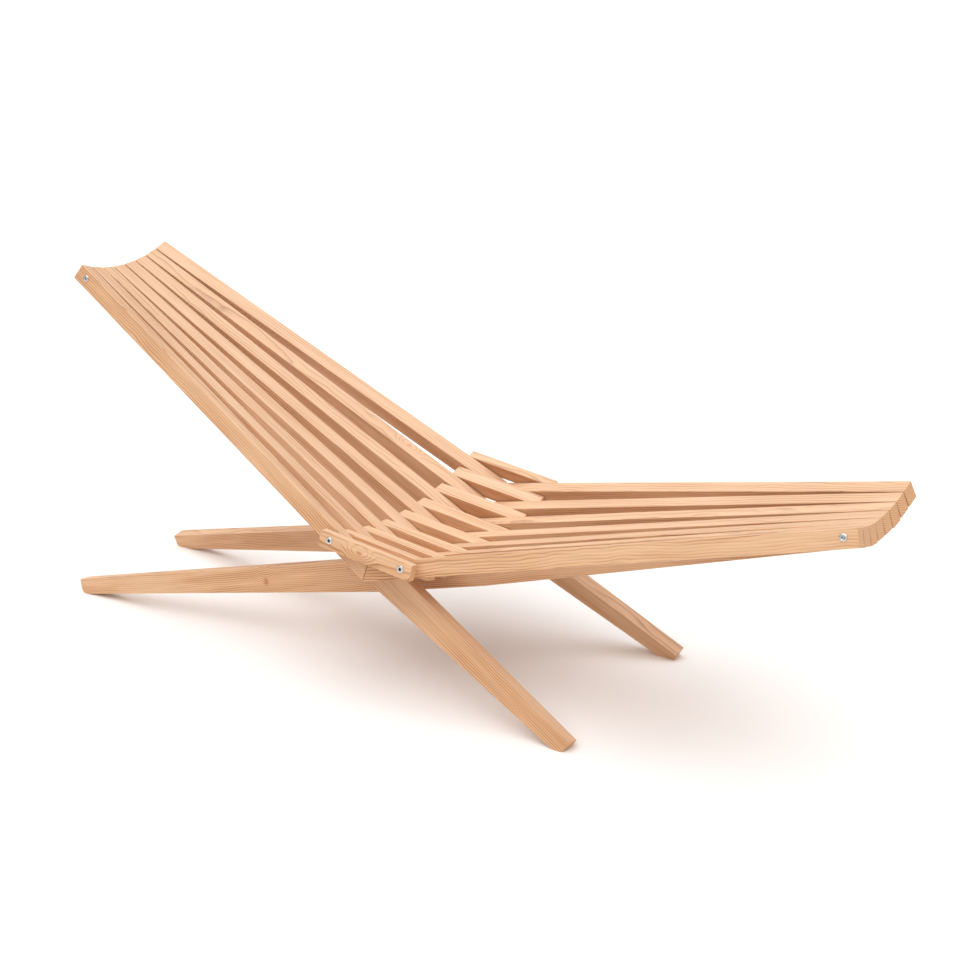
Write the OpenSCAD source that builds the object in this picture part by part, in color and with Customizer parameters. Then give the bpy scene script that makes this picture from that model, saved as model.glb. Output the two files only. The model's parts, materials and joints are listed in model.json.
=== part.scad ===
// Folding slatted beach lounge chair, in millimetres.
// +X runs to the front of the seat, +Y to the left of the sitter, +Z up, and the feet stand on Z = 0.
// Every slat and link is flat stock. It stands in its own plane of a fan of planes, which all pass
// through one line above the seat, parallel to the links. That is what scoops the back and the seat.

/* [Stock] */
// Thickness of every slat and link across the chair
slat_t = 22.8; // [18:0.1:24]
// Wood above the line through a slat's cable holes
slat_rise = 11.1; // [8:0.1:14]
// Wood below the same line
slat_drop = 14; // [8:0.1:16]
// Eased edges of the stock
edge_ease = 1.2; // [0.4:0.1:2]

/* [Fan of planes] */
// Distance from one link to the slat beside it, on the hinge cables
stack_pitch = 24.6; // [24:0.1:28]
// Angle between the planes of two neighbouring slats, degrees
fan_step = 5.77; // [3:0.01:7]

/* [Links] */
// Length of a link
link_len = 154; // [130:1:180]
// Wood above the line through a link's cable holes
link_rise = 10.7; // [8:0.1:13]
// Wood below the same line
link_drop = 12.8; // [8:0.1:14]
// Distance between a link's two cable holes
link_span = 120; // [100:1:140]
// Thickness of the two outer links, which only hold the cable ends
outer_link_t = 14; // [10:0.1:20]
// How far the outer links sit to the right of their places, by the slack of the cables
outer_shift = 4.4; // [0:0.1:6]
// How much more upright the slack right outer link hangs, degrees
outer_hang = 10; // [0:0.5:12]
// Slope of the links down to the front, degrees
link_slope = 7.74; // [0:0.01:15]
// Height of a middle link's holes over the ground
link_height = 189.8; // [150:0.1:240]

/* [Back] */
// Angle between the back slats and the links, degrees
back_angle = 22.7; // [15:0.1:40]
// Where the back slats' line crosses the links, from the link's middle
back_cross = -65.5; // [-75:0.5:-55]
// From that crossing to the cable at the top of the back
back_reach = 600; // [450:1:700]
// Wood beyond the top cable
back_over = 21; // [15:1:30]

/* [Seat] */
// Angle between the seat slats and the links, degrees
seat_angle = 22.6; // [15:0.1:40]
// Where the seat slats' line crosses the links, from the link's middle
seat_cross = 57; // [50:0.5:70]
// From that crossing to the cable at the front of the seat
seat_reach = 608; // [450:1:700]
// Wood beyond the front cable
seat_over = 18.6; // [15:1:30]

/* [Mitre stop] */
// Where back and seat slats meet, from the link's middle
mitre_at = -5.5; // [-12:0.5:6]
// Gap between the two ends at the bottom of the mitre
mitre_gap = 0.3; // [0.2:0.1:1]
// Extra opening at the top of the mitre
mitre_v = 0.4; // [0:0.1:3]

/* [Legs] */
// Length of a front leg below the crossing
front_leg_len = 427; // [380:1:500]
// Length of a rear leg behind the crossing
rear_leg_len = 708; // [600:1:800]
// Depth of wood below the line at the deepest part of a front leg
front_belly = 33; // [24:0.5:42]
// Depth of wood below the line at the deepest part of a rear leg
rear_belly = 37.4; // [24:0.5:46]
// Depth of wood below the line at the feet
foot_drop = 14.2; // [10:0.1:20]
// Radius of the lower corner of a foot
foot_round = 12; // [4:1:16]
// Slats that run on as front legs
front_legs = [2, 7];
// Slats that run on as rear legs
rear_legs = [3, 6];
// Gap between a short slat and the leg that it ends on
rest_gap = 0.6; // [0.3:0.1:1.5]

/* [Cables and screws] */
// Diameter of the steel cables
cable_d = 4; // [3:0.1:5]
// Diameter of the holes for the cables
hole_d = 5; // [4:0.1:7]
// Diameter of the screw heads at the cable ends
head_d = 10; // [7:0.1:12]
// Height of a screw head over the wood
head_h = 1.6; // [1:0.1:3]
// Width across flats of the hexagon socket
socket_af = 4; // [3:0.1:5]

/* [Colours] */
// Softwood
wood_colour = "#E5B48A"; // color
// Zinc-plated steel
steel_colour = "#C9CCCE"; // color

/* [Hidden] */
// Distance from the hinge cables up to the line that all the planes share
fan_radius = 2 * stack_pitch / (fan_step * PI / 180);
// Puts the middle of the bounding box on X = 0
centre_x = -19.2;
hinge_l = -link_span / 2;
hinge_r = link_span / 2;
link_count = 9;
round_fn = 32;
arc_steps = 6;
far_cut = 900;

// Angle of a slat's plane and of a link's plane
function slat_roll(i) = (i - 4.5) * fan_step;
function link_roll(j) = (j - 5) * fan_step;

// The two outer links are thinner
function is_outer(j) = j == 1 || j == link_count;
function link_t(j) = is_outer(j) ? outer_link_t : slat_t;

// A point of the back, u along the slat up from the crossing and v towards the sitter
function back_pt(u, v) = [
    back_cross - u * cos(back_angle) + v * sin(back_angle),
    u * sin(back_angle) + v * cos(back_angle)
];
// A point of the seat, u along the slat to the front and v towards the sitter
function seat_pt(u, v) = [
    seat_cross + u * cos(seat_angle) - v * sin(seat_angle),
    u * sin(seat_angle) + v * cos(seat_angle)
];
// Where a line at height v of a slat reaches the mitre, s along the links
function back_u_at(s, v) = (back_cross + v * sin(back_angle) - s) / cos(back_angle);
function seat_u_at(s, v) = (s - seat_cross + v * sin(seat_angle)) / cos(seat_angle);
// Lower corner of a foot as an arc, from the underside round to the end
function foot_arc(len, a0) = [
    for (k = [0:arc_steps]) let (a = a0 + (180 - a0) * k / arc_steps)
        [-len + foot_round + foot_round * cos(a), -foot_drop + foot_round - foot_round * sin(a)]
];

// Takes flat stock drawn along the links (x) and up (y) into a plane of the fan
module in_plane(roll, shift = 0, hang = 0) {
    translate([centre_x, 0, link_height])
    rotate([0, link_slope, 0])
    translate([0, 0, fan_radius])
    rotate([roll, 0, 0])
    translate([0, -shift, -fan_radius])
    rotate([90 + hang, 0, 0])
    children();
}

// Takes a link into its plane
module in_link_plane(j) {
    in_plane(link_roll(j), is_outer(j) ? outer_shift : 0, j == 1 ? outer_hang : 0) children();
}

// Flat stock of thickness t with eased edges from a convex outline
module stock(t = slat_t) {
    hull() {
        linear_extrude(t - 2 * edge_ease, center = true) children();
        linear_extrude(t, center = true) offset(delta = -edge_ease) children();
    }
}

// Holes for the cables at a list of points
module holes(points) {
    for (p = points)
        translate([p[0], p[1], 0]) cylinder(d = hole_d, h = 2 * slat_t, center = true, $fn = round_fn);
}

// Stretches of cable through one piece of thickness t, at a list of points
module cable(points, t = slat_t) {
    for (p = points)
        translate([p[0], p[1], 0]) cylinder(d = cable_d, h = t, center = true, $fn = round_fn);
}

// Screw heads on one face of a piece of thickness t, side -1 for the right face and 1 for the left
module screws(points, side, t = slat_t) {
    for (p = points)
        translate([p[0], p[1], 0])
        rotate([0, side < 0 ? 0 : 180, 0])
        translate([0, 0, t / 2])
        difference() {
            union() {
                cylinder(d = head_d, h = head_h * 0.6, $fn = round_fn);
                translate([0, 0, head_h * 0.6])
                cylinder(d1 = head_d, d2 = head_d * 0.8, h = head_h * 0.4, $fn = round_fn);
            }
            translate([0, 0, head_h * 0.3]) cylinder(d = socket_af / cos(30), h = head_h, $fn = 6);
        }
}

// Outline of a plain back slat, cut at the mitre
module back_outline() {
    polygon([
        back_pt(back_reach + back_over, slat_rise),
        back_pt(back_reach + back_over, -slat_drop),
        back_pt(back_u_at(mitre_at - mitre_gap / 2, -slat_drop), -slat_drop),
        back_pt(back_u_at(mitre_at - mitre_gap / 2 - mitre_v, slat_rise), slat_rise)
    ]);
}

// Outline of a plain seat slat, cut at the mitre
module seat_outline() {
    polygon([
        seat_pt(seat_reach + seat_over, slat_rise),
        seat_pt(seat_reach + seat_over, -slat_drop),
        seat_pt(seat_u_at(mitre_at + mitre_gap / 2, -slat_drop), -slat_drop),
        seat_pt(seat_u_at(mitre_at + mitre_gap / 2 + mitre_v, slat_rise), slat_rise)
    ]);
}

// Outline of a front leg and the back slat that it is one piece with
module front_leg_outline() {
    foot = foot_arc(front_leg_len, 93);
    polygon(concat(
        [back_pt(back_reach + back_over, slat_rise), back_pt(back_reach + back_over, -slat_drop)],
        [back_pt(200, -slat_drop - 0.1), back_pt(-70, -front_belly)],
        [for (p = foot) back_pt(p[0], p[1])],
        [back_pt(-front_leg_len, slat_rise)]
    ));
}

// Outline of a rear leg and the seat slat that it is one piece with
module rear_leg_outline() {
    foot = foot_arc(rear_leg_len, 93);
    polygon(concat(
        [seat_pt(seat_reach + seat_over, slat_rise), seat_pt(seat_reach + seat_over, -slat_drop - 1.1)],
        [seat_pt(60, -rear_belly), seat_pt(-123, -rear_belly)],
        [for (p = foot) seat_pt(p[0], p[1])],
        [seat_pt(-rear_leg_len, slat_rise)]
    ));
}

// Outline of a seat slat that ends on the top edge of a front leg
module seat_on_leg_outline() {
    intersection() {
        polygon([
            seat_pt(seat_reach + seat_over, slat_rise),
            seat_pt(seat_reach + seat_over, -slat_drop),
            seat_pt(-far_cut, -slat_drop),
            seat_pt(-far_cut, slat_rise)
        ]);
        polygon([
            back_pt(far_cut, slat_rise + rest_gap),
            back_pt(-far_cut, slat_rise + rest_gap),
            back_pt(-far_cut, far_cut),
            back_pt(far_cut, far_cut)
        ]);
    }
}

// Outline of a back slat that ends on the top edge of a rear leg
module back_on_leg_outline() {
    intersection() {
        polygon([
            back_pt(back_reach + back_over, slat_rise),
            back_pt(back_reach + back_over, -slat_drop),
            back_pt(-far_cut, -slat_drop),
            back_pt(-far_cut, slat_rise)
        ]);
        polygon([
            seat_pt(far_cut, slat_rise + rest_gap),
            seat_pt(-far_cut, slat_rise + rest_gap),
            seat_pt(-far_cut, far_cut),
            seat_pt(far_cut, far_cut)
        ]);
    }
}

// Cuts the foot of a leg flat where it stands
module on_ground() {
    intersection() {
        children();
        translate([-1000, -300, 0]) cube([2000, 600, 1000]);
    }
}

back_points = [back_pt(back_reach, 0), [hinge_l, 0]];
seat_points = [seat_pt(seat_reach, 0), [hinge_r, 0]];
link_points = [[hinge_l, 0], [hinge_r, 0]];

// One back slat of the eight, counted from the sitter's right
module back_slat(i) {
    color(wood_colour)
    on_ground()
    in_plane(slat_roll(i))
    difference() {
        if (len(search(i, front_legs)) > 0) {
            stock() front_leg_outline();
        } else if (len(search(i, rear_legs)) > 0) {
            stock() back_on_leg_outline();
        } else {
            stock() back_outline();
        }
        holes(back_points);
    }
}

// One seat slat of the eight, counted from the sitter's right
module seat_slat(i) {
    color(wood_colour)
    on_ground()
    in_plane(slat_roll(i))
    difference() {
        if (len(search(i, rear_legs)) > 0) {
            stock() rear_leg_outline();
        } else if (len(search(i, front_legs)) > 0) {
            stock() seat_on_leg_outline();
        } else {
            stock() seat_outline();
        }
        holes(seat_points);
    }
}

// One link of the nine, counted from the sitter's right
module link(j) {
    color(wood_colour)
    in_link_plane(j)
    difference() {
        stock(link_t(j)) translate([-link_len / 2, -link_drop]) square([link_len, link_rise + link_drop]);
        holes(link_points);
    }
}

// The stretches of cable in one slat
module cable_in(roll, points) {
    color(steel_colour) in_plane(roll) cable(points);
}

// The stretches of cable in one link
module link_cable(j) {
    color(steel_colour) in_link_plane(j) cable(link_points, link_t(j));
}

// The screw head on the outer face of an outer slat
module screws_on(roll, points, side) {
    color(steel_colour) in_plane(roll) screws(points, side);
}

// The screw heads on the outer face of an outer link
module link_screws(j, side) {
    color(steel_colour) in_link_plane(j) screws(link_points, side, link_t(j));
}

// Back slats, two of them with a front leg
module back_slat_1() { back_slat(1); }
module front_leg_2() { back_slat(2); }
module back_slat_3() { back_slat(3); }
module back_slat_4() { back_slat(4); }
module back_slat_5() { back_slat(5); }
module back_slat_6() { back_slat(6); }
module front_leg_7() { back_slat(7); }
module back_slat_8() { back_slat(8); }

// Seat slats, two of them with a rear leg
module seat_slat_1() { seat_slat(1); }
module seat_slat_2() { seat_slat(2); }
module rear_leg_3() { seat_slat(3); }
module seat_slat_4() { seat_slat(4); }
module seat_slat_5() { seat_slat(5); }
module rear_leg_6() { seat_slat(6); }
module seat_slat_7() { seat_slat(7); }
module seat_slat_8() { seat_slat(8); }

// Links
module link_1() { link(1); }
module link_2() { link(2); }
module link_3() { link(3); }
module link_4() { link(4); }
module link_5() { link(5); }
module link_6() { link(6); }
module link_7() { link(7); }
module link_8() { link(8); }
module link_9() { link(9); }

// Cable in the back slats: at the top of the back and at the rear hinge
module back_cable_1() { cable_in(slat_roll(1), back_points); }
module back_cable_2() { cable_in(slat_roll(2), back_points); }
module back_cable_3() { cable_in(slat_roll(3), back_points); }
module back_cable_4() { cable_in(slat_roll(4), back_points); }
module back_cable_5() { cable_in(slat_roll(5), back_points); }
module back_cable_6() { cable_in(slat_roll(6), back_points); }
module back_cable_7() { cable_in(slat_roll(7), back_points); }
module back_cable_8() { cable_in(slat_roll(8), back_points); }

// Cable in the seat slats: at the front of the seat and at the front hinge
module seat_cable_1() { cable_in(slat_roll(1), seat_points); }
module seat_cable_2() { cable_in(slat_roll(2), seat_points); }
module seat_cable_3() { cable_in(slat_roll(3), seat_points); }
module seat_cable_4() { cable_in(slat_roll(4), seat_points); }
module seat_cable_5() { cable_in(slat_roll(5), seat_points); }
module seat_cable_6() { cable_in(slat_roll(6), seat_points); }
module seat_cable_7() { cable_in(slat_roll(7), seat_points); }
module seat_cable_8() { cable_in(slat_roll(8), seat_points); }

// Cable in the links: at both hinges
module link_cable_1() { link_cable(1); }
module link_cable_2() { link_cable(2); }
module link_cable_3() { link_cable(3); }
module link_cable_4() { link_cable(4); }
module link_cable_5() { link_cable(5); }
module link_cable_6() { link_cable(6); }
module link_cable_7() { link_cable(7); }
module link_cable_8() { link_cable(8); }
module link_cable_9() { link_cable(9); }

// Screw heads on the outer faces
module back_screw_1() { screws_on(slat_roll(1), [back_points[0]], -1); }
module back_screw_8() { screws_on(slat_roll(8), [back_points[0]], 1); }
module seat_screw_1() { screws_on(slat_roll(1), [seat_points[0]], -1); }
module seat_screw_8() { screws_on(slat_roll(8), [seat_points[0]], 1); }
module link_screws_1() { link_screws(1, -1); }
module link_screws_9() { link_screws(9, 1); }

back_slat_1();
front_leg_2();
back_slat_3();
back_slat_4();
back_slat_5();
back_slat_6();
front_leg_7();
back_slat_8();
seat_slat_1();
seat_slat_2();
rear_leg_3();
seat_slat_4();
seat_slat_5();
rear_leg_6();
seat_slat_7();
seat_slat_8();
link_1();
link_2();
link_3();
link_4();
link_5();
link_6();
link_7();
link_8();
link_9();
back_cable_1();
back_cable_2();
back_cable_3();
back_cable_4();
back_cable_5();
back_cable_6();
back_cable_7();
back_cable_8();
seat_cable_1();
seat_cable_2();
seat_cable_3();
seat_cable_4();
seat_cable_5();
seat_cable_6();
seat_cable_7();
seat_cable_8();
link_cable_1();
link_cable_2();
link_cable_3();
link_cable_4();
link_cable_5();
link_cable_6();
link_cable_7();
link_cable_8();
link_cable_9();
back_screw_1();
back_screw_8();
seat_screw_1();
seat_screw_8();
link_screws_1();
link_screws_9();
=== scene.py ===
"""Looks of a folding slatted lounge chair: planed softwood boards strung on steel cables."""

import json
import logging
import math
from dataclasses import dataclass, field
from enum import Enum

import bmesh
import bpy
from mathutils import Matrix, Vector

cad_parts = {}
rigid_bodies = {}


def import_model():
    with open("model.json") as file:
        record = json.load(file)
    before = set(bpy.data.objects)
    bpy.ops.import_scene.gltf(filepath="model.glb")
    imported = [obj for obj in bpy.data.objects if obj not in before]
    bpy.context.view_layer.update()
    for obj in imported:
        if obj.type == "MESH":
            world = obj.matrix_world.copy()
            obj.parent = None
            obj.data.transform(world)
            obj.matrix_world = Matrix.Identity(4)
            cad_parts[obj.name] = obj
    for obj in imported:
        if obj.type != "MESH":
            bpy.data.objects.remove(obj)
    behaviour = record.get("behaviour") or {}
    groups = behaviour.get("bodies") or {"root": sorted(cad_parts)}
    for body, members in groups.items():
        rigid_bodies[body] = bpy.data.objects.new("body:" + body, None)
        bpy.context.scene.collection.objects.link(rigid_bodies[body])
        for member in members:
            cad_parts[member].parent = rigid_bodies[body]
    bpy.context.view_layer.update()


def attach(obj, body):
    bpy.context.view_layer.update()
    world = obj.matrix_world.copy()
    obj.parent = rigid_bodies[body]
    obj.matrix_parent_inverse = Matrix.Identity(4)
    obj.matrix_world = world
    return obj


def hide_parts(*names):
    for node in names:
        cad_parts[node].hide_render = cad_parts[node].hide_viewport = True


MM = 0.001
log = logging.getLogger("lounge_chair")


class Side(Enum):
    """Outer face of the chair that a screw head sits on."""

    RIGHT = -1
    LEFT = 1


class Part(Enum):
    """The three kinds of board, with the name of the body each one rides on."""

    BACK = "back"
    SEAT = "seat"
    LINK = "middle"


def linear(hex_colour: str) -> tuple[float, float, float, float]:
    """Turns an sRGB hex colour into linear RGBA.

    Args:
        hex_colour: Colour such as "#E5B48A".

    Returns:
        The four linear components, fully opaque.
    """
    digits = hex_colour.lstrip("#")
    parts = [int(digits[k : k + 2], 16) / 255 for k in (0, 2, 4)]
    r, g, b = (c / 12.92 if c <= 0.04045 else ((c + 0.055) / 1.055) ** 2.4 for c in parts)
    return r, g, b, 1.0


def add_node(
    tree: bpy.types.NodeTree,
    kind: str,
    settings: dict[str, object] | None = None,
    inputs: dict[str | int, object] | None = None,
) -> bpy.types.Node:
    """Adds a shader node with its settings and its inputs.

    Args:
        tree: Node tree that the node goes into.
        kind: Node type, such as "ShaderNodeMath".
        settings: Node properties to set.
        inputs: Input name or number to a value, or to an output socket to link.

    Returns:
        The new node.
    """
    node = tree.nodes.new(kind)
    for name, value in (settings or {}).items():
        setattr(node, name, value)
    for name, value in (inputs or {}).items():
        if isinstance(value, bpy.types.NodeSocket):
            tree.links.new(value, node.inputs[name])
        else:
            node.inputs[name].default_value = value
    return node


def new_material(name: str) -> tuple[bpy.types.Material, bpy.types.NodeTree, bpy.types.Node]:
    """Makes an empty material with a Principled shader on its output.

    Args:
        name: Material name.

    Returns:
        The material, its tree and the Principled node.
    """
    mat = bpy.data.materials.new(name)
    mat.use_nodes = True
    tree = mat.node_tree
    tree.nodes.clear()
    shader = add_node(tree, "ShaderNodeBsdfPrincipled")
    add_node(tree, "ShaderNodeOutputMaterial", inputs={"Surface": shader.outputs[0]})
    return mat, tree, shader


@dataclass(frozen=True)
class PlanedFir:
    """Douglas fir, planed and lightly oiled.

    Hard reddish latewood lines alternate with pale earlywood. The rings are drawn round a pith
    that lies outside the board, so they run straight on one face, arch on the next and show as
    arcs on the cut ends. A knot pushes them aside. The tops of the boards are painted paler, a
    painted highlight for the light from above.
    A fine fibre streak and a satin sheen come from the planing. Scales are in turns of the noise
    per millimetre, along the board, across it and up.
    """

    early: str = "#E0AE82"
    early_pale: str = "#E9BE97"
    late: str = "#8C4C22"
    end_early: str = "#E0AE80"
    end_late: str = "#A4683A"
    knot_heart: str = "#B0633A"
    # painted highlight: the paler colour mixed into the tops of the boards, and its share
    painted_top_light: str = "#F7D6B8"
    painted_top_light_share: float = 0.27
    ring_mm: float = 2.9
    streak_mm: float = 0.7
    knot_push_mm: float = 9.0
    knot_reach_mm: float = 9.0
    knot_heart_mm: float = 1.9
    heart_share: float = 0.65
    cloud_scale: tuple[float, float, float] = (0.005, 0.06, 0.06)
    cloud_range: tuple[float, float] = (0.38, 0.66)
    cloud_share: float = 0.7
    wander: tuple[tuple[tuple[float, float, float], float], ...] = (
        ((0.006, 0.02, 0.02), 10.0), ((0.03, 0.05, 0.05), 3.0),
    )
    ring_greys: tuple[tuple[float, float], ...] = ((0.5, 0.1), (0.8, 0.45), (0.91, 0.9), (1.0, 0.4))
    streak_share: float = 0.65
    streak_dark: float = 0.76
    roughness: float = 0.55
    ior: float = 1.5
    sheen_level: float = 0.35
    ring_rise: float = 0.6
    bump_strength: float = 0.25
    bump_mm: float = 0.15

    def build(self) -> bpy.types.Material:
        """Makes the material.

        Its pattern reads each board's own "grain" coordinates in millimetres and its "knot".

        Returns:
            The material.
        """
        mat, tree, shader = new_material("planed_oiled_fir")
        at = add_node(tree, "ShaderNodeAttribute", {"attribute_name": "grain"}).outputs["Vector"]
        off_knot = self._off_knot(tree, at)
        ring = self._rings(tree, at, off_knot)
        streak = self._streaks(tree, at)
        figure = self._mix(tree, ring, linear(self.early), linear(self.late))
        cloud = add_node(
            tree, "ShaderNodeTexNoise", {"noise_dimensions": "3D"},
            {"Vector": self._scaled(tree, at, self.cloud_scale), "Scale": 1.0, "Detail": 2.0},
        )
        thin, dense = self.cloud_range
        pale = add_node(
            tree, "ShaderNodeMapRange",
            inputs={"Value": cloud.outputs["Fac"], 1: thin, 2: dense, 3: 0.0, 4: self.cloud_share},
        )
        toned = self._mix(tree, pale.outputs[0], figure, linear(self.early_pale))
        streaked = self._mix(tree, self.streak_share, toned, streak, "MULTIPLY")
        heart = add_node(
            tree, "ShaderNodeMapRange",
            inputs={
                "Value": off_knot, 1: self.knot_heart_mm * 0.6, 2: self.knot_heart_mm * 1.6,
                3: self.heart_share, 4: 0.0,
            },
        )
        knotted = self._mix(tree, heart.outputs[0], streaked, linear(self.knot_heart))
        ends = add_node(tree, "ShaderNodeAttribute", {"attribute_name": "end"})
        end_figure = self._mix(tree, ring, linear(self.end_early), linear(self.end_late))
        # painted highlight: faces turned up are mixed towards a paler colour for the light from above
        painted_light_mask = add_node(tree, "ShaderNodeAttribute", {"attribute_name": "painted_light_mask"})
        painted_top_light = add_node(
            tree, "ShaderNodeMath", {"operation": "MULTIPLY"}, {0: painted_light_mask.outputs["Fac"], 1: self.painted_top_light_share}
        )
        with_painted_light = self._mix(tree, painted_top_light.outputs[0], knotted, linear(self.painted_top_light))
        body = self._mix(tree, ends.outputs["Fac"], with_painted_light, end_figure)
        tree.links.new(body, shader.inputs["Base Color"])
        shader.inputs["Roughness"].default_value = self.roughness
        shader.inputs["IOR"].default_value = self.ior
        shader.inputs["Specular IOR Level"].default_value = self.sheen_level
        rise = add_node(tree, "ShaderNodeMath", {"operation": "MULTIPLY"}, {0: ring, 1: self.ring_rise})
        both = add_node(tree, "ShaderNodeMath", {"operation": "ADD"}, {0: rise.outputs[0], 1: streak})
        bump = add_node(
            tree, "ShaderNodeBump",
            inputs={
                "Strength": self.bump_strength, "Distance": self.bump_mm * MM, "Height": both.outputs[0],
            },
        )
        tree.links.new(bump.outputs["Normal"], shader.inputs["Normal"])
        return mat

    def _mix(
        self, tree: bpy.types.NodeTree, factor: object, a: object, b: object, blend: str = "MIX"
    ) -> bpy.types.NodeSocket:
        """Mixes two colours, each given as a socket or a value.

        Args:
            tree: Node tree.
            factor: Share of the second colour.
            a: First colour.
            b: Second colour.
            blend: How they are mixed.

        Returns:
            The mixed colour.
        """
        node = add_node(
            tree, "ShaderNodeMix", {"data_type": "RGBA", "blend_type": blend},
            {"Factor": factor, "A": a, "B": b},
        )
        return node.outputs["Result"]

    def _scaled(
        self, tree: bpy.types.NodeTree, at: bpy.types.NodeSocket, scale: tuple[float, float, float]
    ) -> bpy.types.NodeSocket:
        """Multiplies the grain coordinates by a scale for each direction.

        Args:
            tree: Node tree.
            at: Grain coordinates in millimetres.
            scale: Factor along the board, across it and up.

        Returns:
            The scaled coordinates.
        """
        return add_node(
            tree, "ShaderNodeVectorMath", {"operation": "MULTIPLY"}, {0: at, 1: scale}
        ).outputs["Vector"]

    def _off_knot(self, tree: bpy.types.NodeTree, at: bpy.types.NodeSocket) -> bpy.types.NodeSocket:
        """Measures how far a point is from the board's knot.

        A knot is a branch that grew out of the pith, so it runs along a radius.

        Args:
            tree: Node tree.
            at: Grain coordinates in millimetres.

        Returns:
            The distance in millimetres, half as much along the board as across it.
        """
        knot = add_node(tree, "ShaderNodeAttribute", {"attribute_name": "knot"})
        place = add_node(tree, "ShaderNodeSeparateXYZ", inputs={0: knot.outputs["Vector"]})
        here = add_node(tree, "ShaderNodeSeparateXYZ", inputs={0: at})
        along = add_node(
            tree, "ShaderNodeMath", {"operation": "SUBTRACT"}, {0: here.outputs[0], 1: place.outputs[0]}
        )
        short = add_node(tree, "ShaderNodeMath", {"operation": "MULTIPLY"}, {0: along.outputs[0], 1: 0.5})
        left = add_node(
            tree, "ShaderNodeMath", {"operation": "MULTIPLY"}, {0: here.outputs[1], 1: place.outputs[2]}
        )
        right = add_node(
            tree, "ShaderNodeMath", {"operation": "MULTIPLY"}, {0: here.outputs[2], 1: place.outputs[1]}
        )
        beside = add_node(
            tree, "ShaderNodeMath", {"operation": "SUBTRACT"}, {0: left.outputs[0], 1: right.outputs[0]}
        )
        joined = add_node(tree, "ShaderNodeCombineXYZ", inputs={0: short.outputs[0], 1: beside.outputs[0]})
        return add_node(
            tree, "ShaderNodeVectorMath", {"operation": "LENGTH"}, {0: joined.outputs[0]}
        ).outputs["Value"]

    def _rings(
        self, tree: bpy.types.NodeTree, at: bpy.types.NodeSocket, off_knot: bpy.types.NodeSocket
    ) -> bpy.types.NodeSocket:
        """Draws growth rings round the board's pith.

        Args:
            tree: Node tree.
            at: Grain coordinates in millimetres, x along the board and the pith on y = z = 0.
            off_knot: Distance from the knot in millimetres.

        Returns:
            A value that is 1 on the latewood line and 0 between the lines.
        """
        moved = at
        for scale, push_mm in self.wander:
            wander = add_node(
                tree, "ShaderNodeTexNoise", {"noise_dimensions": "3D"},
                {"Vector": self._scaled(tree, at, scale), "Scale": 1.0, "Detail": 1.0},
            )
            push = add_node(
                tree, "ShaderNodeVectorMath", {"operation": "SCALE"},
                {0: wander.outputs["Color"], "Scale": push_mm},
            )
            moved = add_node(
                tree, "ShaderNodeVectorMath", {"operation": "ADD"}, {0: moved, 1: push.outputs["Vector"]}
            ).outputs["Vector"]
        radius = add_node(
            tree, "ShaderNodeVectorMath", {"operation": "LENGTH"},
            {0: self._scaled(tree, moved, (0.0, 1.0, 1.0))},
        )
        near = add_node(
            tree, "ShaderNodeMapRange", {"interpolation_type": "SMOOTHERSTEP"},
            {"Value": off_knot, 1: 0.0, 2: 2 * self.knot_reach_mm, 3: self.knot_push_mm, 4: 0.0},
        )
        bulged = add_node(
            tree, "ShaderNodeMath", {"operation": "ADD"}, {0: radius.outputs["Value"], 1: near.outputs[0]}
        )
        turns = add_node(
            tree, "ShaderNodeMath", {"operation": "DIVIDE"}, {0: bulged.outputs[0], 1: self.ring_mm}
        )
        part = add_node(tree, "ShaderNodeMath", {"operation": "FRACT"}, {0: turns.outputs[0]})
        # earlywood darkens slowly into the latewood line, which ends sharply
        ramp = add_node(tree, "ShaderNodeValToRGB", inputs={"Fac": part.outputs[0]})
        stops = ramp.color_ramp.elements
        stops[0].position, stops[0].color = 0.0, (0.3, 0.3, 0.3, 1)
        stops[1].position, stops[1].color = 0.14, (0.04, 0.04, 0.04, 1)
        for place, grey in self.ring_greys:
            stop = stops.new(place)
            stop.color = (grey, grey, grey, 1)
        return ramp.outputs["Color"]

    def _streaks(self, tree: bpy.types.NodeTree, at: bpy.types.NodeSocket) -> bpy.types.NodeSocket:
        """Draws the fine fibre streaks, far longer than they are wide.

        Args:
            tree: Node tree.
            at: Grain coordinates in millimetres.

        Returns:
            A factor for the colour, 1 where there is no streak.
        """
        fine = 1.0 / self.streak_mm
        noise = add_node(
            tree, "ShaderNodeTexNoise", {"noise_dimensions": "3D"},
            {"Vector": self._scaled(tree, at, (0.02 * fine, fine, fine)), "Scale": 0.6, "Detail": 3.0},
        )
        return add_node(
            tree, "ShaderNodeMapRange",
            inputs={"Value": noise.outputs["Fac"], 1: 0.3, 2: 0.7, 3: self.streak_dark, 4: 1.0},
        ).outputs[0]


@dataclass(frozen=True)
class ZincPlatedSteel:
    """Zinc-plated steel, turned. It gives a bright, slightly soft grey gloss."""

    colour: str = "#D4D6D6"
    roughness: float = 0.28

    def build(self) -> bpy.types.Material:
        """Makes the material."""
        mat, tree, shader = new_material("zinc_plated_steel")
        at = add_node(tree, "ShaderNodeTexCoord")
        scratch = add_node(
            tree, "ShaderNodeTexNoise", inputs={"Vector": at.outputs["Object"], "Scale": 900.0, "Detail": 2.0}
        )
        rough = add_node(
            tree, "ShaderNodeMapRange",
            inputs={"Value": scratch.outputs["Fac"], 3: self.roughness - 0.06, 4: self.roughness + 0.1},
        )
        tree.links.new(rough.outputs[0], shader.inputs["Roughness"])
        shader.inputs["Base Color"].default_value = linear(self.colour)
        shader.inputs["Metallic"].default_value = 1.0
        return mat


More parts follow.
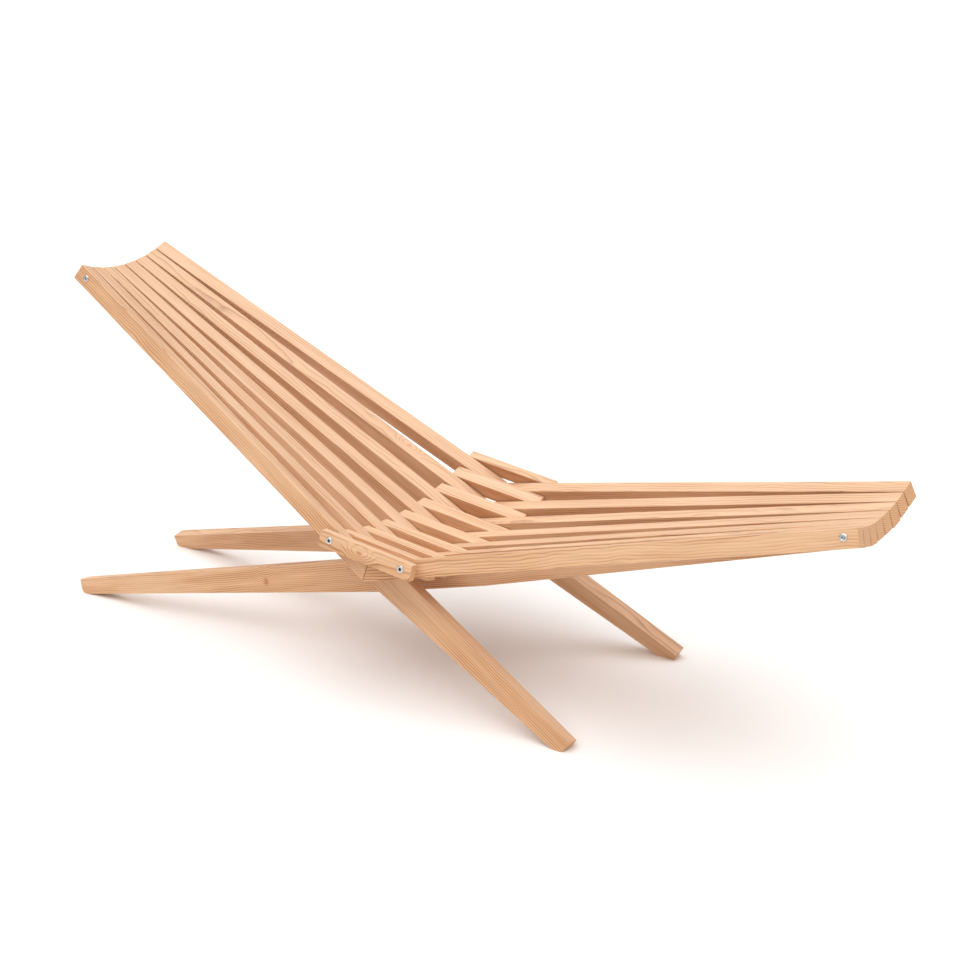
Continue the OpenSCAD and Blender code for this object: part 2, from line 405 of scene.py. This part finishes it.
@dataclass(frozen=True)
class DarkSocket:
    """Near-black painted shade for the steel inside a screw's socket, where no light reaches."""

    colour: str = "#1C1D1E"

    def build(self) -> bpy.types.Material:
        """Makes the material."""
        mat, _, shader = new_material("socket_painted_shade")
        # painted shade: near-black colour standing in for the shade deep in the socket
        shader.inputs["Base Color"].default_value = linear(self.colour)
        shader.inputs["Metallic"].default_value = 0.2
        shader.inputs["Roughness"].default_value = 0.7
        return mat


@dataclass(frozen=True)
class StrandedSteel:
    """Galvanised steel cable, laid from strands. The lay shows as slanting ridges."""

    colour: str = "#A9ACAE"
    lay_mm: float = 3.0

    def build(self) -> bpy.types.Material:
        """Makes the material. Its ridges read the "grain" coordinates, x along the cable."""
        mat, tree, shader = new_material("stranded_galvanised_steel")
        at = add_node(tree, "ShaderNodeAttribute", {"attribute_name": "grain"})
        wave = add_node(
            tree, "ShaderNodeTexWave", {"bands_direction": "DIAGONAL"},
            {"Vector": at.outputs["Vector"], "Scale": 1.0 / self.lay_mm, "Distortion": 0.0},
        )
        bump = add_node(
            tree, "ShaderNodeBump",
            inputs={"Strength": 0.6, "Distance": 0.2 * MM, "Height": wave.outputs["Fac"]},
        )
        tree.links.new(bump.outputs["Normal"], shader.inputs["Normal"])
        shader.inputs["Base Color"].default_value = linear(self.colour)
        shader.inputs["Metallic"].default_value = 1.0
        shader.inputs["Roughness"].default_value = 0.38
        return mat


@dataclass(frozen=True)
class Finishes:
    """The finishes, made once and shared by every piece."""

    wood: bpy.types.Material
    screw: bpy.types.Material
    socket: bpy.types.Material
    cable: bpy.types.Material

    @classmethod
    def make(cls) -> "Finishes":
        """Builds every finish."""
        return cls(
            wood=PlanedFir().build(),
            screw=ZincPlatedSteel().build(),
            socket=DarkSocket().build(),
            cable=StrandedSteel().build(),
        )


@dataclass(frozen=True)
class Fan:
    """The fan of planes that the boards stand in. Lengths in millimetres, angles in degrees."""

    stack_pitch: float = 24.6
    step: float = 5.77
    slope: float = 7.74
    height: float = 189.8
    centre_x: float = -19.2

    @property
    def radius(self) -> float:
        """Distance from the hinge cables up to the line that the planes share."""
        return 2 * self.stack_pitch / math.radians(self.step)

    def roll(self, part: Part, number: int) -> float:
        """Angle of a board's plane, in degrees.

        Args:
            part: Kind of board.
            number: Its place, counted from the sitter's right.

        Returns:
            The angle, 0 for a board on the chair's middle.
        """
        middle = 5 if part is Part.LINK else 4.5
        return (number - middle) * self.step

    def plane(self, roll: float, shift: float = 0.0, hang: float = 0.0) -> Matrix:
        """Matrix from a board's own frame (x along the links, y across, z up, mm) to metres.

        Args:
            roll: Angle of the plane in degrees.
            shift: Distance of the board to the right of the plane.
            hang: Turn of the board about its own length, in degrees.

        Returns:
            The matrix.
        """
        return (
            Matrix.Scale(MM, 4)
            @ Matrix.Translation((self.centre_x, 0, self.height))
            @ Matrix.Rotation(math.radians(self.slope), 4, "Y")
            @ Matrix.Translation((0, 0, self.radius))
            @ Matrix.Rotation(math.radians(roll), 4, "X")
            @ Matrix.Translation((0, -shift, -self.radius))
            @ Matrix.Rotation(math.radians(hang), 4, "X")
        )


Outline = list[tuple[float, float]]
NO_KNOT_MM = 5000.0


@dataclass(frozen=True)
class Sawn:
    """Where a board was sawn from its log, in mm from the log's pith, and its knot."""

    pith_y: float
    pith_z: float
    knot_at: tuple[float, float, float] | None = None

    @classmethod
    def from_seed(cls, seed: int) -> "Sawn":
        """Chooses a place to one side of the pith, for fine lines on the top and on the sides.

        Args:
            seed: Any whole number.

        Returns:
            The place.
        """
        side = -1 if seed % 2 else 1
        return cls(float(side * (26 + (seed * 37) % 31)), float(36 + (seed * 53) % 41))

    def knot_line(self, shift: float) -> Vector:
        """Finds the line that the knot grew along.

        Args:
            shift: Added to places along the board.

        Returns:
            Place along the board, then the direction of the line across and up.
        """
        if self.knot_at is None:
            return Vector((shift - NO_KNOT_MM, 0.0, 1.0))
        along, across, up = self.knot_at
        way = Vector((across + self.pith_y, up + self.pith_z)).normalized()
        return Vector((along + shift, way.x, way.y))


@dataclass
class Stock:
    """Flat stock: builds an eased board from an outline, with its grain coordinates.

    A vertex counts as cut end, or as a top that gets the painted highlight, by the cosine of its
    normal to the grain or to up.
    """

    thick: float = 22.8
    ease: float = 1.3
    segments: int = 3
    log_step_mm: float = 400.0
    end_cosine: float = 0.75
    # cosine to up past which a face takes the painted highlight
    painted_light_cosine: float = 0.6

    def board(
        self, name: str, outline: Outline, origin: Vector, along: Vector, place: Matrix, seed: int,
        sawn: Sawn | None = None,
    ) -> bpy.types.Object:
        """Makes a board.

        Args:
            name: Object name.
            outline: Convex outline in x and z of the board's plane, in mm.
            origin: A point on the board's centre line, in the plane, in mm.
            along: Unit vector of the grain, in the plane.
            place: Matrix from the plane to the row frame.
            seed: Chooses where the board was sawn from the log.
            sawn: Where the board was sawn from the log, or None to let the seed choose.

        Returns:
            The board, with its mesh in the row frame.
        """
        mesh_data = bmesh.new()
        half = self.thick / 2
        near = [mesh_data.verts.new((x, -half, z)) for x, z in outline]
        far = [mesh_data.verts.new((x, half, z)) for x, z in outline]
        count = len(outline)
        mesh_data.faces.new(near)
        mesh_data.faces.new(list(reversed(far)))
        for k in range(count):
            n = (k + 1) % count
            mesh_data.faces.new((near[n], near[k], far[k], far[n]))
        bmesh.ops.recalc_face_normals(mesh_data, faces=mesh_data.faces)
        bmesh.ops.bevel(
            mesh_data, geom=list(mesh_data.edges), offset=self.ease, segments=self.segments,
            profile=0.5, affect="EDGES", clamp_overlap=True,
        )
        end = mesh_data.verts.layers.float.new("end")
        # mask of the tops that the wood material paints paler: a painted highlight
        painted_light_mask = mesh_data.verts.layers.float.new("painted_light_mask")
        grain = mesh_data.verts.layers.float_vector.new("grain")
        up = Vector((-along.z, 0, along.x))
        if up.z < 0:
            up.negate()
        sawn = sawn or Sawn.from_seed(seed)
        shift = self.log_step_mm * seed
        knot = sawn.knot_line(shift)
        knots = mesh_data.verts.layers.float_vector.new("knot")
        for face in mesh_data.faces:
            face.smooth = True
        for vert in mesh_data.verts:
            off = vert.co - origin
            vert[grain] = Vector(
                (off.dot(along) + shift, off.y + sawn.pith_y, off.dot(up) + sawn.pith_z)
            )
            vert[knots] = knot
            facing = sum((f.normal for f in vert.link_faces), Vector()).normalized()
            vert[end] = float(abs(facing.dot(along)) > self.end_cosine)
            # faces turned up get the painted highlight
            vert[painted_light_mask] = float(facing.dot(up) > self.painted_light_cosine)
        mesh = bpy.data.meshes.new(name)
        mesh_data.to_mesh(mesh)
        mesh_data.free()
        mesh.transform(place)
        obj = bpy.data.objects.new(name, mesh)
        bpy.context.scene.collection.objects.link(obj)
        weigh = obj.modifiers.new("flat_faces", "WEIGHTED_NORMAL")
        weigh.keep_sharp = True
        return obj


@dataclass
class Turned:
    """Round pieces: cables and screw heads, built about the line across a board's plane.

    Sizes in millimetres. A cable stands past its board by end_out under a head, and by
    joint_out where it runs on into the next board.
    """

    cable_d: float = 4.0
    head_d: float = 10.0
    head_h: float = 1.6
    socket_d: float = 4.4
    socket_deep: float = 1.1
    tip: float = 0.3
    end_out: float = 1.1
    joint_out: float = 0.15
    steps: int = 40

    def lathe(self, profile: Outline, at: tuple[float, float], bm: bmesh.types.BMesh, mat: int) -> None:
        """Turns a profile round the line across the plane.

        Args:
            profile: Radius and distance across the plane, in mm, from the axis outwards.
            at: Where the axis crosses the plane, x and z in mm.
            bm: Mesh that the surface is added to.
            mat: Material number of its faces.
        """
        rings: list[list[bmesh.types.BMVert]] = []
        for r, y in profile:
            ring = []
            for k in range(self.steps if r > 1e-6 else 1):
                a = 2 * math.pi * k / self.steps
                ring.append(bm.verts.new((at[0] + r * math.cos(a), y, at[1] + r * math.sin(a))))
            rings.append(ring)
        for a_ring, b_ring in zip(rings, rings[1:]):
            for k in range(self.steps):
                n = (k + 1) % self.steps
                # the axis is a ring of one vertex, so a face there has three corners
                places = ((a_ring, k), (a_ring, n), (b_ring, n), (b_ring, k))
                quad = [ring[i % len(ring)] for ring, i in places]
                corners = list(dict.fromkeys(quad))
                if len(corners) > 2:
                    face = bm.faces.new(corners)
                    face.material_index = mat
                    face.smooth = True

    def finish(
        self, name: str, bm: bmesh.types.BMesh, place: Matrix, mats: list[bpy.types.Material]
    ) -> bpy.types.Object:
        """Closes a turned mesh and puts it in the row frame.

        Args:
            name: Object name.
            bm: The mesh, in the plane's frame in mm.
            place: Matrix from the plane to the row frame.
            mats: Its materials, in order.

        Returns:
            The object.
        """
        grain = bm.verts.layers.float_vector.new("grain")
        for vert in bm.verts:
            vert[grain] = Vector((vert.co.y, vert.co.x, vert.co.z))
        bmesh.ops.recalc_face_normals(bm, faces=bm.faces)
        mesh = bpy.data.meshes.new(name)
        bm.to_mesh(mesh)
        bm.free()
        mesh.transform(place)
        for mat in mats:
            mesh.materials.append(mat)
        obj = bpy.data.objects.new(name, mesh)
        bpy.context.scene.collection.objects.link(obj)
        return obj

    def cables(
        self, name: str, points: Outline, reach: list[float], place: Matrix, mat: bpy.types.Material
    ) -> bpy.types.Object:
        """Makes the stretches of cable in one board.

        Args:
            name: Object name.
            points: Where they cross the plane.
            reach: Half the length of each.
            place: Matrix from the plane to the row frame.
            mat: Finish.

        Returns:
            The object.
        """
        bm = bmesh.new()
        r, tip = self.cable_d / 2, self.tip
        for at, half in zip(points, reach):
            profile = [
                (0, -half), (r - tip, -half), (r, -half + tip),
                (r, half - tip), (r - tip, half), (0, half),
            ]
            self.lathe(profile, at, bm, 0)
        return self.finish(name, bm, place, [mat])

    def heads(
        self, name: str, points: Outline, face: float, side: Side, place: Matrix,
        steel: bpy.types.Material, dark: bpy.types.Material,
    ) -> bpy.types.Object:
        """Makes the screw heads on an outer face.

        Args:
            name: Object name.
            points: Where they sit in the plane.
            face: Distance of the face from the board's middle.
            side: Outer side of the chair.
            place: Matrix from the plane to the row frame.
            steel: Finish of the head.
            dark: Near-black painted shade of the socket.

        Returns:
            The object.
        """
        bm = bmesh.new()
        out = side.value
        big, hole, tall = self.head_d / 2, self.socket_d / 2, self.head_h
        floor = tall - self.socket_deep
        rim = [
            (big - 0.1, 0.0), (big, 0.25), (big, tall * 0.45), (big * 0.96, tall * 0.7),
            (big * 0.86, tall * 0.9), (big * 0.72, tall), (hole + 0.25, tall), (hole, tall - 0.2),
        ]
        well = [(hole, tall - 0.2), (hole * 0.96, floor), (hole * 0.4, floor - 0.15), (0, floor - 0.2)]
        seat = [(0, out * face), (big - 0.1, out * face)]
        for at in points:
            self.lathe(seat + [(r, out * (face + h)) for r, h in rim], at, bm, 0)
            # the socket's well gets the near-black painted shade
            self.lathe([(r, out * (face + h)) for r, h in well], at, bm, 1)
        bmesh.ops.remove_doubles(bm, verts=bm.verts, dist=0.001)
        return self.finish(name, bm, place, [steel, dark])


@dataclass
class Board:
    """One board with the cable in it: which body it rides on."""

    part: Part
    number: int

    @property
    def body(self) -> str:
        """Name of the body it rides on."""
        return f"{self.part.value}_{self.number}"

    def mount(self, obj: bpy.types.Object, node: str) -> None:
        """Rides a piece on this board's body in place of a node.

        Args:
            obj: The piece.
            node: Node that it stands for.
        """
        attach(obj, self.body)
        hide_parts(node)


@dataclass
class SlatRow:
    """A row of eight slats, the back or the seat, two of them with a leg. Sizes in mm."""

    part: Part
    nodes: tuple[str, ...]
    fan: Fan
    stock: Stock
    turned: Turned
    finishes: Finishes
    angle: float
    cross: float
    reach: float
    over: float
    hinge: float
    legs: tuple[int, int]
    leg_len: float
    underside: tuple[tuple[float, float], ...]
    resting: tuple[int, int]
    rise: float = 11.1
    drop: float = 14.0
    foot_drop: float = 14.2
    foot_round: float = 12.0
    mitre_at: float = -5.5
    mitre_gap: float = 0.3
    mitre_v: float = 0.4
    rest_gap: float = 0.6
    corner_from: float = 93.0
    corner_steps: int = 8
    sawn: dict[int, Sawn] = field(default_factory=dict)
    other: "SlatRow | None" = field(default=None, repr=False)

    @property
    def way(self) -> int:
        """-1 for the back, which runs to the rear, and 1 for the seat."""
        return -1 if self.part is Part.BACK else 1

    def point(self, u: float, v: float) -> tuple[float, float]:
        """A point of the row's plane.

        Args:
            u: Distance along the slat from where its line crosses the links.
            v: Height over that line, towards the sitter.

        Returns:
            x along the links and z up.
        """
        a = math.radians(self.angle)
        return (
            self.cross + self.way * (u * math.cos(a) - v * math.sin(a)),
            u * math.sin(a) + v * math.cos(a),
        )

    def u_at(self, s: float, v: float) -> float:
        """Distance along the slat at which height v reaches the place s of the mitre.

        Args:
            s: x of the mitre, along the links.
            v: Height over the slat's line.

        Returns:
            The distance.
        """
        a = math.radians(self.angle)
        return (self.way * (s - self.cross) + v * math.sin(a)) / math.cos(a)

    def outline(self, number: int) -> Outline:
        """Outline of one slat.

        Args:
            number: Its place, counted from the sitter's right.

        Returns:
            Convex outline.
        """
        top = self.reach + self.over
        if number in self.legs:
            drop = self.underside[0][1]
            pts = [(top, self.rise), (top, drop)] + list(self.underside[1:])
            for k in range(self.corner_steps + 1):
                a = math.radians(self.corner_from + (180 - self.corner_from) * k / self.corner_steps)
                pts.append((
                    -self.leg_len + self.foot_round + self.foot_round * math.cos(a),
                    -self.foot_drop + self.foot_round - self.foot_round * math.sin(a),
                ))
            pts.append((-self.leg_len, self.rise))
            return [self.point(u, v) for u, v in pts]
        if number in self.resting:
            low = self._u_on_leg(-self.drop)
            high = self._u_on_leg(self.rise)
        else:
            low = self.u_at(self.mitre_at + self.way * self.mitre_gap / 2, -self.drop)
            high = self.u_at(self.mitre_at + self.way * (self.mitre_gap / 2 + self.mitre_v), self.rise)
        corners = ((top, self.rise), (top, -self.drop), (low, -self.drop), (high, self.rise))
        return [self.point(u, v) for u, v in corners]

    def _u_on_leg(self, v: float) -> float:
        """Distance along the slat at which height v meets the top edge of the crossing leg.

        Args:
            v: Height over the slat's line.

        Returns:
            The distance.
        """
        leg = self.other
        edge = leg.rise + self.rest_gap
        a, b = Vector(leg.point(0, edge)), Vector(leg.point(1, edge))
        p, q = Vector(self.point(0, v)), Vector(self.point(1, v))
        normal = Vector((-(b - a).y, (b - a).x))
        return (a - p).dot(normal) / (q - p).dot(normal)

    def build(self) -> None:
        """Builds and dresses every slat of the row, its cables and its outer screw heads."""
        for number, node in enumerate(self.nodes, 1):
            board = Board(self.part, number)
            place = self.fan.plane(self.fan.roll(self.part, number))
            a = math.radians(self.angle)
            along = Vector((self.way * math.cos(a), 0, math.sin(a)))
            origin = Vector((self.point(0, 0)[0], 0, self.point(0, 0)[1]))
            seed = number + (0 if self.part is Part.BACK else 11)
            slat = self.stock.board(
                f"{node}_board", self.outline(number), origin, along, place, seed, self.sawn.get(number)
            )
            slat.data.materials.append(self.finishes.wood)
            foot_to_ground(slat)
            board.mount(slat, node)
            points = [self.point(self.reach, 0), (self.hinge, 0.0)]
            half = self.stock.thick / 2
            reach = [half + self.turned.end_out, half + self.turned.joint_out]
            wire = self.turned.cables(
                f"{self.part.value}_wire_{number}", points, reach, place, self.finishes.cable
            )
            board.mount(wire, f"{self.part.value}_cable_{number}")
            if number in (1, 8):
                side = Side.RIGHT if number == 1 else Side.LEFT
                head = self.turned.heads(
                    f"{self.part.value}_head_{number}", points[:1], half, side, place,
                    self.finishes.screw, self.finishes.socket,
                )
                board.mount(head, f"{self.part.value}_screw_{number}")
        log.info("%s row: %d slats, legs %s", self.part.value, len(self.nodes), self.legs)


def foot_to_ground(obj: bpy.types.Object) -> None:
    """Cuts a board flat on the ground, as its foot is sawn.

    Args:
        obj: The board, with its mesh in the row frame.
    """
    bm = bmesh.new()
    bm.from_mesh(obj.data)
    if min(v.co.z for v in bm.verts) < 0:
        cut = bmesh.ops.bisect_plane(
            bm, geom=[*bm.verts, *bm.edges, *bm.faces],
            plane_co=(0, 0, 0), plane_no=(0, 0, 1), clear_inner=True,
        )
        edges = [e for e in cut["geom_cut"] if isinstance(e, bmesh.types.BMEdge)]
        filled = bmesh.ops.contextual_create(bm, geom=edges)
        for face in filled["faces"]:
            face.smooth = False
        bm.to_mesh(obj.data)
    bm.free()


@dataclass
class LinkRow:
    """The nine links between the back and the seat. Sizes in mm."""

    fan: Fan
    stock: Stock
    turned: Turned
    finishes: Finishes
    length: float = 154.0
    rise: float = 10.7
    drop: float = 12.8
    span: float = 120.0
    count: int = 9
    outer_thick: float = 14.0
    outer_shift: float = 4.4
    outer_hang: float = 10.0
    sawn: dict[int, Sawn] = field(default_factory=dict)

    def build(self) -> None:
        """Builds and dresses every link, its cables and the outer screw heads."""
        x = self.length / 2
        thin = Stock(thick=self.outer_thick, ease=self.stock.ease)
        outline = [(x, self.rise), (x, -self.drop), (-x, -self.drop), (-x, self.rise)]
        points = [(-self.span / 2, 0.0), (self.span / 2, 0.0)]
        for number in range(1, self.count + 1):
            board = Board(Part.LINK, number)
            outer = number in (1, self.count)
            stock = thin if outer else self.stock
            half = stock.thick / 2
            place = self.fan.plane(
                self.fan.roll(Part.LINK, number),
                self.outer_shift if outer else 0.0,
                self.outer_hang if number == 1 else 0.0,
            )
            link = stock.board(
                f"link_{number}_board", outline, Vector(), Vector((1, 0, 0)), place, 23 + number,
                self.sawn.get(number),
            )
            link.data.materials.append(self.finishes.wood)
            board.mount(link, f"link_{number}")
            wire = self.turned.cables(
                f"link_wire_{number}", points, [half + self.turned.joint_out] * 2, place,
                self.finishes.cable,
            )
            board.mount(wire, f"link_cable_{number}")
            if outer:
                side = Side.RIGHT if number == 1 else Side.LEFT
                heads = self.turned.heads(
                    f"link_heads_{number}", points, half, side, place,
                    self.finishes.screw, self.finishes.socket,
                )
                board.mount(heads, f"link_screws_{number}")
        log.info("link row: %d links", self.count)


@dataclass
class Studio:
    """Pale floor, soft light and the camera. Lengths in metres, angles in degrees."""

    eye: tuple[float, float, float] = (1.3261, -1.9935, 1.1736)
    turn: float = 32.718
    down: float = 20.507
    tilt: float = -0.576
    lens_mm: float = 66.45
    sensor_mm: float = 36.0
    sky_strength: float = 0.42
    floor_half: float = 12.0
    floor_colour: str = "#FAF9F8"

    def build(self) -> None:
        """Builds the floor, the lights, the world and the camera."""
        self._floor()
        self._light("key", (0.9, -2.6, 2.0), 60.0, 0.5)
        self._light("top", (-0.2, -0.2, 3.0), 90.0, 2.75)
        world = bpy.data.worlds.new("studio")
        world.use_nodes = True
        back = world.node_tree.nodes["Background"]
        back.inputs["Color"].default_value = (1.0, 1.0, 1.0, 1.0)
        back.inputs["Strength"].default_value = self.sky_strength
        bpy.context.scene.world = world
        # bright studio look: white stays white
        bpy.context.scene.view_settings.view_transform = "Standard"
        self._camera()
        log.info("studio: floor, two lights, camera")

    def _floor(self) -> None:
        """Makes the pale floor."""
        mesh = bpy.data.meshes.new("floor")
        s = self.floor_half
        mesh.from_pydata([(-s, -s, 0), (s, -s, 0), (s, s, 0), (-s, s, 0)], [], [(0, 1, 2, 3)])
        floor = bpy.data.objects.new("floor", mesh)
        bpy.context.scene.collection.objects.link(floor)
        mat, _, shader = new_material("matt_white_paper")
        shader.inputs["Base Color"].default_value = linear(self.floor_colour)
        shader.inputs["Roughness"].default_value = 0.9
        mesh.materials.append(mat)

    def _light(self, name: str, come_from: tuple[float, float, float], spread: float, power: float) -> None:
        """Adds a wide soft light that is even all over the floor.

        Args:
            name: Light name.
            come_from: Where it shines from, seen from the chair.
            spread: Angle that it fills, in degrees.
            power: Its power in watts per square metre.
        """
        data = bpy.data.lights.new(name, "SUN")
        data.angle = math.radians(spread)
        data.energy = power
        lamp = bpy.data.objects.new(name, data)
        lamp.rotation_mode = "QUATERNION"
        lamp.rotation_quaternion = (-Vector(come_from)).to_track_quat("-Z", "Y")
        bpy.context.scene.collection.objects.link(lamp)

    def _camera(self) -> None:
        """Makes the camera."""
        data = bpy.data.cameras.new("camera")
        data.sensor_width = self.sensor_mm
        data.lens = self.lens_mm
        data.clip_end = 50.0
        cam = bpy.data.objects.new("camera", data)
        cam.matrix_world = (
            Matrix.Translation(self.eye)
            @ Matrix.Rotation(math.radians(self.turn), 4, "Z")
            @ Matrix.Rotation(math.radians(90 - self.down), 4, "X")
            @ Matrix.Rotation(math.radians(self.tilt), 4, "Z")
        )
        bpy.context.scene.collection.objects.link(cam)
        bpy.context.scene.camera = cam


def main() -> None:
    """Builds the chair, row by row, and the studio round it."""
    logging.basicConfig(level=logging.INFO, format="%(name)s: %(message)s")
    bpy.ops.object.select_all(action="SELECT")
    bpy.ops.object.delete()
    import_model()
    finishes = Finishes.make()
    fan, stock, turned = Fan(), Stock(), Turned()
    back = SlatRow(
        part=Part.BACK,
        nodes=("back_slat_1", "front_leg_2", "back_slat_3", "back_slat_4",
               "back_slat_5", "back_slat_6", "front_leg_7", "back_slat_8"),
        fan=fan, stock=stock, turned=turned, finishes=finishes,
        angle=22.7, cross=-65.5, reach=600.0, over=21.0, hinge=-60.0,
        legs=(2, 7), leg_len=427.0, underside=((0, -14.0), (200, -14.1), (-70, -33.0)), resting=(3, 6),
        sawn={1: Sawn(-25.0, 34.0), 7: Sawn(5.0, 33.0, (92.0, 2.0, 11.1))},
    )
    seat = SlatRow(
        part=Part.SEAT,
        nodes=("seat_slat_1", "seat_slat_2", "rear_leg_3", "seat_slat_4",
               "seat_slat_5", "rear_leg_6", "seat_slat_7", "seat_slat_8"),
        fan=fan, stock=stock, turned=turned, finishes=finishes,
        angle=22.6, cross=57.0, reach=608.0, over=18.6, hinge=60.0,
        legs=(3, 6), leg_len=708.0, underside=((0, -15.1), (60, -37.4), (-123, -37.4)), resting=(2, 7),
        sawn={
            1: Sawn(-34.0, -46.0), 3: Sawn(-12.0, 70.0, (-325.0, -11.4, -12.0)),
            6: Sawn(9.0, 62.0, (-410.0, 11.4, -4.0)),
        },
    )
    back.other, seat.other = seat, back
    back.build()
    seat.build()
    LinkRow(
        fan=fan, stock=stock, turned=turned, finishes=finishes,
        sawn={1: Sawn(-24.0, 4.0, (-9.0, -7.0, -1.0)), 9: Sawn(18.0, 40.0)},
    ).build()
    Studio().build()


if __name__ == "__main__":
    main()
